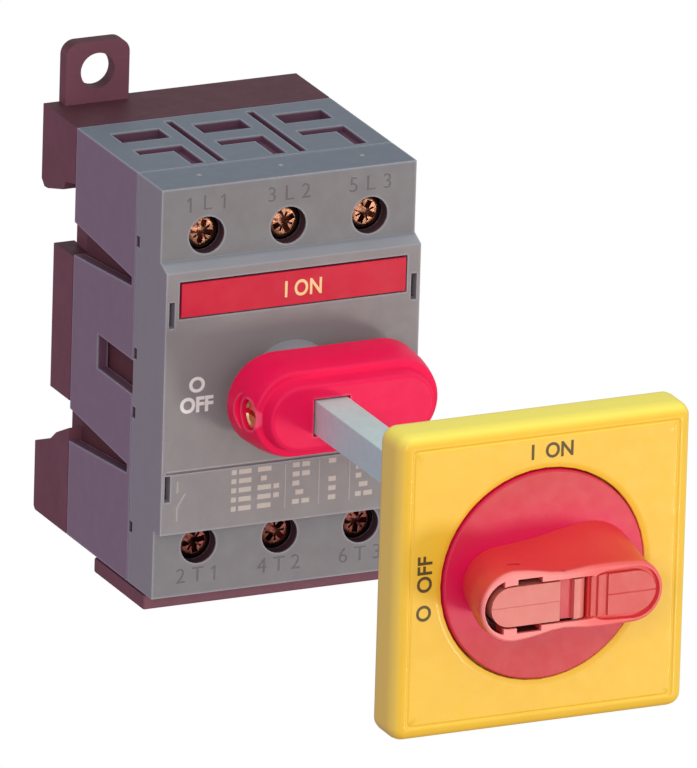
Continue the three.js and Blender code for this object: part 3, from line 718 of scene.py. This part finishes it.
# ---- door plate ----
def door_plate():
    """The yellow plate with a round front edge, a groove along its rim, the disc's recess and the neck."""
    corner, least_corner = 2.6, 0.8
    bore, neck, shoulder = 8.2, 11.0, 14.0
    recess = 3.1
    hole = (DISC_RADIUS + PIECE_GAP) / MM
    thickness = PLATE_THICKNESS / MM
    neck_back = (high("door_plate").y - PLATE_FRONT) / MM

    def square(inset):
        return rounded_square(PLATE_HALF - inset * MM, max(corner - inset, least_corner) * MM)

    def square_ring(inset, behind):
        return at_depth(square(inset), PLATE_FRONT + behind * MM)

    def round_ring(radius, behind):
        """A circle whose points lie in the directions of the square's points."""
        angles = [math.atan2(z, x) for x, z in square(0)]
        points = [(radius * MM * math.cos(a), radius * MM * math.sin(a)) for a in angles]
        return at_depth(points, PLATE_FRONT + behind * MM)

    # radius and depth behind the face, down the bore and back along the neck
    neck_profile = [(bore, recess), (bore, neck_back), (neck - 0.4, neck_back), (neck, neck_back - 0.5),
                    (neck, thickness), (shoulder, thickness)]
    # inset and depth, over the back, the side, the front edge and the groove to the face
    rim_profile = [(8.0, thickness), (1.4, thickness), (0.5, 7.7), (0.1, 7.2), (0, 6.4), (0, 2.6),
                   (0.18, 1.6), (0.62, 0.72), (1.25, 0.2), (2.0, 0.0), (2.35, 0.0), (2.5, 0.16),
                   (2.75, 0.16), (2.9, 0.0), (4.0, 0.0)]
    # radius and depth, over the lip of the recess to its floor
    recess_profile = [(hole + 1.2, 0.0), (hole + 0.75, 0.0), (hole + 0.5, 0.12), (hole + 0.2, 0.14),
                      (hole, 0.3), (hole, recess - 0.2), (hole - 0.2, recess)]
    rings = [round_ring(*step) for step in neck_profile]
    rings += [square_ring(*step) for step in rim_profile]
    rings += [round_ring(*step) for step in recess_profile]
    plate = new_piece("plate_moulding", loop_mesh("plate_moulding", rings), YELLOW, "door_side",
                      replaces=("door_plate",))

    pocket_inner, pocket_outer, pocket_depth = 15.5 * MM, 23.8 * MM, 3 * MM
    tools = []
    for sx in (-1, 1):
        for sz in (-1, 1):
            x0, x1 = sorted((sx * pocket_inner, sx * pocket_outer))
            z0, z1 = sorted((sz * pocket_inner, sz * pocket_outer))
            tools.append(box_tool(x0, x1, PLATE_BACK - pocket_depth, PLATE_BACK + PAST, z0, z1))
    carve(plate, tools)
    round_edges(plate, 0.12, segments=2, angle=40)


# ---- handle, in millimetres, with depths measured back from the lever's face ----
# left end, right end and the radii of these ends, at the lever's face and where it meets the disc
LEVER_HEAD = (-17.0, 15.6, 6.1, 5.3)
LEVER_FOOT = (-14.6, 16.2, 5.9, 8.4)
HEAD_STARTS = 0.72  # share of the lever's height from where it keeps its outline
WAIST_X = -2.6
WAIST_REACH = 4.2
WAIST_DEPTH = 0.16  # share of the lever's width at its face
AHEAD = -1  # in front of the lever's face, where tools that cut into it begin
PANEL_FACE = 0.12
TONGUE_FACE = 0.12
TONGUE_BACK = 4.0


def face_outline_tool(points, y0, y1):
    return outline_tool(points, LEVER_FRONT + y0 * MM, LEVER_FRONT + y1 * MM)


def face_box_tool(x0, x1, y0, y1, z0, z1):
    return box_tool(x0 * MM, x1 * MM, LEVER_FRONT + y0 * MM, LEVER_FRONT + y1 * MM, z0 * MM, z1 * MM)


def round_bar_mm(*sizes, **options):
    return round_bar(*(size * MM for size in sizes), **options)


def lever_outline(share, inset):
    """Outline of the lever in metres, share 0 at the disc and 1 at the face."""
    spread = max(0.0, 1 - share / HEAD_STARTS)
    left, right, left_radius, right_radius = (
        head + (foot - head) * spread for head, foot in zip(LEVER_HEAD, LEVER_FOOT))
    points = round_bar_mm(left + inset, right - inset, left_radius - inset, right_radius - inset, count=28)
    depth = WAIST_DEPTH * (0.3 + 0.7 * share)
    return [(x, z * (1 - depth * math.exp(-((x / MM - WAIST_X) / WAIST_REACH) ** 2)))
            for x, z in subdivide(points, 10)]


def handle_disc():
    # depth behind the disc's face and change of its radius
    profile = [(3.0, -0.2), (2.8, 0.0), (0.45, 0.0), (0.12, -0.1), (0.0, -0.35)]
    rings = [at_depth(circle(DISC_RADIUS + grow * MM, 96), DISC_FRONT + behind * MM)
             for behind, grow in profile]
    disc = new_piece("handle_disc", ring_mesh("handle_disc", rings), HANDLE_RED, "door_handle",
                     replaces=("handle",))
    round_edges(disc, 0.05, segments=1, angle=60)


def handle_lever():
    height = DISC_FRONT - LEVER_FRONT
    # share of the height above the disc and inset of the outline
    profile = [(-0.05, 0.0), (0.0, 0.0), (0.24, 0.0), (0.48, 0.0), (0.72, 0.0), (0.94, 0.0),
               (0.98, 0.12), (1.0, 0.45)]
    rings = [at_depth(lever_outline(max(share, 0.0), inset), DISC_FRONT - share * height)
             for share, inset in profile]
    lever = new_piece("handle_lever", ring_mesh("handle_lever", rings), LEVER_RED, "door_handle")
    gap_angles = [math.radians(105 + 150 * i / 24) for i in range(25)]
    gap = [(GAP_X + GAP_RADIUS * math.cos(a), GAP_RADIUS * math.sin(a)) for a in gap_angles]
    tongue_pocket = face_outline_tool(round_bar_mm(-15.5, 6, 3.75, 3.74), AHEAD, 5.6)
    end_gap = face_outline_tool(gap, AHEAD, 3)
    panel_recess = face_outline_tool(round_bar_mm(1.5, 14.95, 4.3, 4.55), AHEAD, 0.8)
    shackle_hole = face_box_tool(-11.0, -8.7, 3.3, 4.1, -9, 9)
    side_slots = [face_box_tool(-10.6, -6.2, AHEAD, 3, *sorted((side * 3.5, side * 4.65)))
                  for side in (1, -1)]
    carve(lever, [tongue_pocket, end_gap, panel_recess, shackle_hole, *side_slots])
    panel_seat = face_box_tool(2.3, 9, 0.8, 6.5, -4, 4)
    carve(lever, [panel_seat], operation="UNION")
    round_edges(lever, 0.16, segments=2, angle=36)


def lever_panel():
    """The red inlay on the right part of the lever's face, with two grooves across it and a fine line."""
    outline = round_bar_mm(0.2, 14.3, 3.59, 3.6)
    rings = [at_depth(outline, LEVER_FRONT + behind * MM) for behind in (1.0, PANEL_FACE)]
    panel = new_piece("lever_panel", ring_mesh("lever_panel", rings), PANEL_RED, "door_handle")
    square_end = face_box_tool(-1, 2.6, AHEAD, 2, -5, 5)
    grooves = [face_box_tool(left, left + 1, AHEAD, 0.5, -5, 5) for left in (2.9, 4.7)]
    fine_line = face_box_tool(5, 15, AHEAD, 0.22, -0.08, 0.08)
    carve(panel, [square_end, *grooves, fine_line])
    round_edges(panel, 0.14, segments=2)


def padlock_tongue():
    """The flap that swings on the tongue pin, with a hub, a slot for a shackle and a hollow."""
    half = high("padlock_tongue").z / MM
    pivot_x = TONGUE_PIVOT.x / MM
    pivot_y = (TONGUE_PIVOT.y - LEVER_FRONT) / MM
    outline = round_bar_mm(-15.2, pivot_x + half, half + 0.01, half)
    rings = [at_depth(outline, LEVER_FRONT + behind * MM) for behind in (TONGUE_BACK, TONGUE_FACE)]
    tongue = new_piece("tongue_flap", ring_mesh("tongue_flap", rings), TONGUE_RED, "lock_tongue",
                       replaces=("padlock_tongue",))
    hinge_end = face_box_tool(pivot_x, 9, AHEAD, TONGUE_BACK + 2, -5, 5)
    shackle_slot = face_box_tool(-9.4, -6.9, TONGUE_FACE + 2.6, TONGUE_FACE + 5, -9, 9)
    carve(tongue, [hinge_end, shackle_slot])
    hub = circle(1.55 * MM, 32, (TONGUE_PIVOT.x, TONGUE_PIVOT.y))
    carve(tongue, [
        solid_tool([at_height(hub, z * MM) for z in (-half, half)]),
        face_box_tool(pivot_x - 0.5, pivot_x + 1.5, pivot_y, TONGUE_BACK, -half, half),
    ], operation="UNION")
    hollow = face_box_tool(HOLLOW_LEFT / MM, HOLLOW_RIGHT / MM, AHEAD, TONGUE_FACE + 0.8, -5, 5)
    fine_line = face_box_tool(-16, -3.1, AHEAD, TONGUE_FACE + 0.1, -0.06, 0.06)
    carve(tongue, [hollow, fine_line])
    round_edges(tongue, 0.16, segments=2)


# ---- print ----
PRINT_THICKNESS = 0.1 * MM
LINE_THICKNESS = 0.06 * MM
CAPITAL_SHARE = 0.69  # height of a capital letter as a share of the font's size


def text_mesh(text, height_mm, spacing=1.0, bold_mm=0.0):
    curve = bpy.data.curves.new("text", "FONT")
    curve.body = text
    curve.align_x = "CENTER"
    curve.align_y = "CENTER"
    curve.size = height_mm * MM / CAPITAL_SHARE
    curve.space_character = spacing
    curve.offset = bold_mm * MM
    curve.extrude = PRINT_THICKNESS / 2
    curve.resolution_u = 4
    holder = link_object("text", curve)
    bpy.context.view_layer.update()
    mesh = bpy.data.meshes.new_from_object(holder.evaluated_get(bpy.context.evaluated_depsgraph_get()))
    bpy.data.objects.remove(holder)
    mesh.transform(Matrix.Rotation(math.pi / 2, 4, "X"))
    return mesh


def text_piece(name, text, place, height_mm, material, body, slot, turn=0.0, squeeze=1.0, **options):
    """Raised print on a face that looks along -Y, centred on its place."""
    mesh = text_mesh(text, height_mm, **options)
    mesh.transform(Matrix.Translation(place) @ Matrix.Rotation(turn, 4, "Y")
                   @ Matrix.Diagonal((squeeze, 1, 1, 1)))
    return new_piece(name, mesh, material, body)


def bars_mesh(bars, y, thickness):
    """Flat printed bars given as x0, x1, z0, z1 in millimetres."""
    bm = bmesh.new()
    for x0, x1, z0, z1 in bars:
        centre = Vector(((x0 + x1) / 2 * MM, y, (z0 + z1) / 2 * MM))
        scale = Matrix.Diagonal(((x1 - x0) * MM, thickness, (z1 - z0) * MM, 1))
        bmesh.ops.create_cube(bm, size=1, matrix=Matrix.Translation(centre) @ scale)
    return mesh_from(bm, "bars")


def print_mesh(points, y=0.0):
    """A printed shape on the face at y, from its outline in metres."""
    half = PRINT_THICKNESS / 2
    return ring_mesh("print", [at_depth(points, y - half), at_depth(points, y + half)])


def one_mesh(height_mm):
    """A figure 1 with a flag and no foot, as moulded marks have."""
    shape = [(-0.06, -0.5), (0.07, -0.5), (0.07, 0.5), (-0.04, 0.5), (-0.26, 0.32), (-0.22, 0.22),
             (-0.06, 0.32)]
    return print_mesh([(x * height_mm * MM, z * height_mm * MM) for x, z in shape])


def terminal_mark(name, mark, x, z):
    """A raised mark of three characters, evenly spaced."""
    height_mm = 2.6
    pitch = 3.1 * MM
    characters = []
    for index, character in enumerate(mark):
        mesh = one_mesh(height_mm) if character == "1" else text_mesh(character, height_mm)
        mesh.transform(Matrix.Translation((x + (index - 1) * pitch, TERMINAL_PLANE, z)))
        characters.append(mesh)
    new_piece(name, joined_mesh(name, characters), EMBOSSED, "base")


def rating_bars():
    """Rows of short bars that stand for a printed table, and the thin lines above and between them."""
    rows, pitch, first_row, half_height = 5, 1.62, -14.2, 0.42
    word_gap, missing_word = 0.45, 0.6
    # left edge of each column and the lengths of its words
    columns = [(-10.4, (1.2, 2.4)), (-5.6, (2.6, 0.9)), (0.8, (1.1, 1.9)), (7.4, (1.8,)), (12.4, (1.1, 1.4))]
    bars = []
    for row in range(rows):
        z = first_row - row * pitch
        for column, (x, words) in enumerate(columns):
            for word, length in enumerate(words):
                if column and (row + 2 * column + word) % 4 == 3:
                    x += missing_word
                    continue
                end = x + length * (0.75 + 0.2 * ((3 * row + column + word) % 3))
                bars.append((x, end, z - half_height, z + half_height))
                x = end + word_gap
    lines = [(x, x + 0.18, -21.6, -13.8) for x in (-0.6, 5.6, 11.2, 17.4)]
    lines.append((-22.2, 22.2, -12.85, -12.65))
    new_piece("rating_print", bars_mesh(bars, NOSE_PLANE, PRINT_THICKNESS), PRINT_TABLE, "base")
    new_piece("rating_lines", bars_mesh(lines, NOSE_PLANE, LINE_THICKNESS), PRINT_FAINT, "base")


def switch_symbol():
    """A generic open-contact symbol: two leads and a slanted blade."""
    width = 0.32
    lead_x, blade_x = -20.3, -18.9

    def stroke(x0, z0, x1, z1):
        length = math.hypot(x1 - x0, z1 - z0)
        nx, nz = -(z1 - z0) / length * width / 2, (x1 - x0) / length * width / 2
        corners = [(x0 + nx, z0 + nz), (x0 - nx, z0 - nz), (x1 - nx, z1 - nz), (x1 + nx, z1 + nz)]
        return print_mesh([(x * MM, z * MM) for x, z in corners], NOSE_PLANE)

    strokes = [stroke(lead_x, -14.6, lead_x, -16.6), stroke(lead_x, -19.2, lead_x, -21.6),
               stroke(lead_x, -19.2, blade_x, -16.9)]
    new_piece("switch_symbol", joined_mesh("symbol", strokes), PRINT_FAINT, "base")


def ejector_dots():
    """Small pale ejector marks on the top of the cover, a little to the right of each pole."""
    radius = 0.4 * MM
    bm = bmesh.new()
    for x in POLE_X:
        spot = Matrix.Translation((x + 0.8 * MM, TERMINAL_PLANE + 5.4 * MM, HALF_HEIGHT))
        bmesh.ops.create_cone(bm, cap_ends=True, segments=16, radius1=radius, radius2=radius,
                              depth=PRINT_THICKNESS, matrix=spot)
    new_piece("ejector_dots", mesh_from(bm, "dots"), PRINT_FAINT, "base")


def print_on_body():
    text_piece("label_on", "I ON", (1.7 * MM, LABEL_FRONT, 17.0 * MM), 2.7, PRINT_CREAM, "base",
               "red_label", bold_mm=0.08, spacing=1.05, squeeze=0.82)
    off_x = -17.2 * MM
    text_piece("mark_o", "O", (off_x, NOSE_PLANE, 2.0 * MM), 2.5, PRINT_LIGHT, "base", "grey_plastic",
               bold_mm=0.11)
    text_piece("mark_off", "OFF", (off_x, NOSE_PLANE, -1.5 * MM), 2.5, PRINT_LIGHT, "base",
               "grey_plastic", bold_mm=0.13, squeeze=0.95)
    rows = [("top", 32.9, ("1L1", "3L2", "5L3")), ("bottom", -32.6, ("2T1", "4T2", "6T3"))]
    for end, z, marks in rows:
        for index, mark, x in zip(POLES, marks, POLE_X):
            terminal_mark(f"mark_{end}_{index}", mark, x, z * MM)
    rating_bars()
    switch_symbol()
    ejector_dots()


def print_on_plate():
    from_centre = 21.2 * MM
    text_piece("plate_on", "I  ON", (1.0 * MM, PLATE_FRONT, from_centre), 2.5, PRINT_DARK, "door_side",
               "yellow_plastic", squeeze=0.9, bold_mm=0.07)
    text_piece("plate_off", "O  OFF", (-from_centre, PLATE_FRONT, 0), 2.5, PRINT_DARK, "door_side",
               "yellow_plastic", turn=-math.pi / 2, bold_mm=0.07)


# ---- studio ----
# for each side: its axis and direction, and the red, green and blue light that arrives from there
SKY = {
    "front": ("Y", -1, (1.24, 1.18, 1.26)), "back": ("Y", 1, (0.5, 0.46, 0.5)),
    "left": ("X", -1, (0.30, 0.18, 0.34)), "right": ("X", 1, (0.85, 0.80, 0.84)),
    "above": ("Z", 1, (1.22, 1.32, 1.3)), "below": ("Z", -1, (0.34, 0.26, 0.32)),
}
SKY_STRENGTH = 0.8
WHITE = (1, 1, 1, 1)
FLOOR_HALF = 3.0
FLOOR_DROP = 1 * MM  # below the object's lowest point


def studio():
    """A white backdrop for the camera, and for the object a sky with a colour for each side."""
    world = bpy.data.worlds.new("studio")
    bpy.context.scene.world = world
    world.use_nodes = True
    world.node_tree.nodes.clear()
    build = Nodes(world.node_tree)
    direction = build.split(build.add("ShaderNodeTexCoord").outputs["Generated"])
    total = None
    for axis, sign, light in SKY.values():
        facing = build.calculate("MAXIMUM", build.calculate("MULTIPLY", direction[axis], sign), 0)
        arriving = build.scaled(light, build.product(facing, facing))
        if total is None:
            total = arriving
            continue
        both = build.add("ShaderNodeVectorMath", operation="ADD")
        build.link(total, both.inputs[0])
        build.link(arriving, both.inputs[1])
        total = both.outputs["Vector"]
    sky = build.add("ShaderNodeBackground", Strength=SKY_STRENGTH)
    build.link(total, sky.inputs["Color"])
    backdrop = build.add("ShaderNodeBackground", Color=WHITE)
    mix = build.add("ShaderNodeMixShader")
    build.link(build.add("ShaderNodeLightPath").outputs["Is Camera Ray"], mix.inputs[0])
    build.link(sky.outputs[0], mix.inputs[1])
    build.link(backdrop.outputs[0], mix.inputs[2])
    build.link(mix.outputs[0], build.add("ShaderNodeOutputWorld").inputs["Surface"])


def floor():
    """A plain pale floor that only the camera sees, so that it throws no light on the object."""
    level = cad_box[0].z - FLOOR_DROP
    corners = [(x * FLOOR_HALF, y * FLOOR_HALF, level) for x, y in ((-1, -1), (1, -1), (1, 1), (-1, 1))]
    mesh = bpy.data.meshes.new("floor")
    mesh.from_pydata(corners, [], [(0, 1, 2, 3)])
    plane = link_object("floor", mesh)
    pale = Shader("pale_floor")
    pale.bsdf.inputs["Base Color"].default_value = (0, 0, 0, 1)
    pale.bsdf.inputs["Specular IOR Level"].default_value = 0
    pale.bsdf.inputs["Emission Color"].default_value = WHITE
    pale.bsdf.inputs["Emission Strength"].default_value = 1.0
    mesh.materials.append(pale.material)
    for rays in ("diffuse", "glossy", "transmission", "shadow"):
        setattr(plane, f"visible_{rays}", False)


def soft_light(name, place, target, size, watts, tint):
    data = bpy.data.lights.new(name, "AREA")
    data.energy = watts
    data.size = size
    data.color = tint
    light = link_object(name, data)
    light.location = place
    light.rotation_euler = (Vector(target) - Vector(place)).to_track_quat("-Z", "Y").to_euler()


def lights():
    plate_centre = (0, PLATE_FRONT, 0)
    shaft_centre = (0, PLATE_FRONT / 2, 0)
    soft_light("key", (0.6, -1.0, -0.3), plate_centre, size=0.2, watts=2.7, tint=(1.0, 1.0, 0.86))
    soft_light("glint", (-0.5, -0.85, 0.35), shaft_centre, size=0.25, watts=1.7, tint=(1.0, 0.98, 0.95))


def camera():
    """A far camera with a long lens, to the left of the front and above it."""
    yaw, pitch = math.radians(25.19), math.radians(19.22)
    roll = 0.0295
    distance = 4.0
    shift_right, shift_down = 10.74 * MM, 0.64 * MM
    forward = Vector((math.sin(yaw) * math.cos(pitch), math.cos(yaw) * math.cos(pitch), -math.sin(pitch)))
    level = Vector((math.cos(yaw), -math.sin(yaw), 0))
    upward = level.cross(forward)
    right = math.cos(roll) * level + math.sin(roll) * upward
    up = -math.sin(roll) * level + math.cos(roll) * upward
    aim = Vector((0, TERMINAL_PLANE, 0)) + shift_right * right - shift_down * up
    data = bpy.data.cameras.new("camera")
    data.lens = 1125.4
    data.sensor_width = 36
    data.clip_end = 50
    view = link_object("camera", data)
    axes = Matrix((right, up, -forward)).transposed()
    view.matrix_world = Matrix.Translation(aim - distance * forward) @ axes.to_4x4()
    bpy.context.scene.camera = view


dress_cad_nodes()
knob_grip()
knob_screw()
terminal_screws()
door_plate()
handle_disc()
handle_lever()
lever_panel()
padlock_tongue()
print_on_body()
print_on_plate()
studio()
floor()
lights()
camera()
bpy.context.scene.view_settings.view_transform = "Standard"
